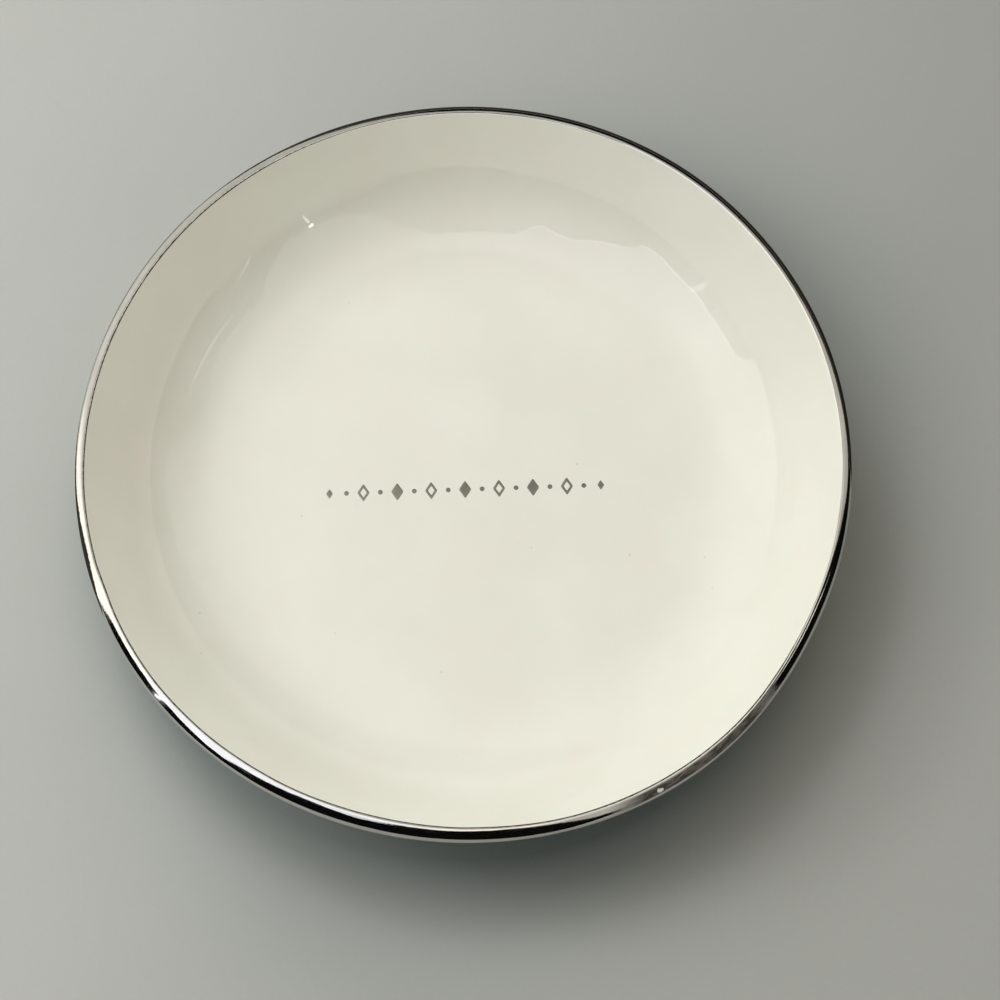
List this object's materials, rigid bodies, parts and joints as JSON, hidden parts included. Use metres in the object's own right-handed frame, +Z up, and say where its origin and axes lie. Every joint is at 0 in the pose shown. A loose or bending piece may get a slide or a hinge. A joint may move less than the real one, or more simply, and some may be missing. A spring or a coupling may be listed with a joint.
{
  "type": "ring dish",
  "caption": "Shallow round glazed porcelain dish on a low foot ring, with a fired metal band over its lip and a small metal ornament in its flat well, for rings and small jewellery.",
  "frame": {"origin": "centre of the foot's contact face, on the surface that the dish stands on", "axes": "+Z up along the dish's axis, +X along the ornament in the well"},
  "size_m": [0.102, 0.102, 0.02],
  "materials": {
    "bisque": "matte, unglazed",
    "glaze": "clear gloss over a warm white body",
    "metal_film": "polished grey metal, lightly worn"
  },
  "bodies": {
    "root": {"porcelain_body": "bisque", "glaze_coat": "glaze", "base_glaze": "glaze", "rim_band": "metal_film", "centre_motif": "metal_film"}
  },
  "joints": []
}
